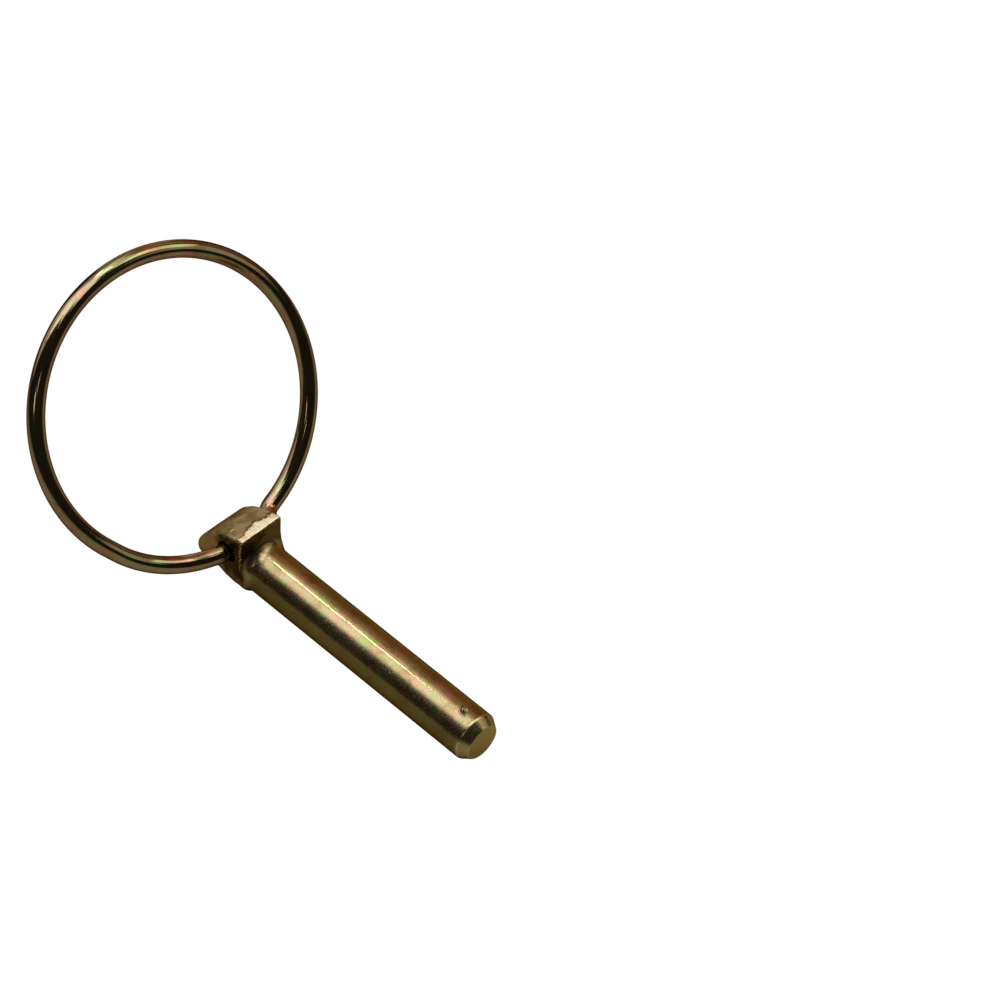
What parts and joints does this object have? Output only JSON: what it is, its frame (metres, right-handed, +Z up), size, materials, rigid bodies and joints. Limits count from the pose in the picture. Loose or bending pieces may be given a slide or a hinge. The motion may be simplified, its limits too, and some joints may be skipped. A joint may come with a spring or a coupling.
{
  "type": "lynch pin",
  "caption": "Forged steel lynch pin with a sprung wire ring that swings through the head and closes over the straight shank.",
  "frame": {"origin": "on the shank's axis, where its straight wall begins below the head", "axes": "+X along the shank towards the tip, +Y along the ring's bore, +Z up out of the nose; the pin lies on its flat back"},
  "size_m": [0.0988, 0.0629, 0.0606],
  "materials": {
    "pin_zinc": "yellow zinc passivate on a forged surface",
    "ring_zinc": "yellow zinc passivate on drawn spring wire"
  },
  "bodies": {
    "pin": {"pin": "pin_zinc"},
    "ring": {"ring": "ring_zinc"}
  },
  "joints": [
    {"name": "ring_swing", "type": "hinge", "parent": "pin", "child": "ring", "pos_m": [-0.0066, 0, 0.0043], "axis": [0, 1, 0], "range_deg": [-225, 121.4]}
  ]
}
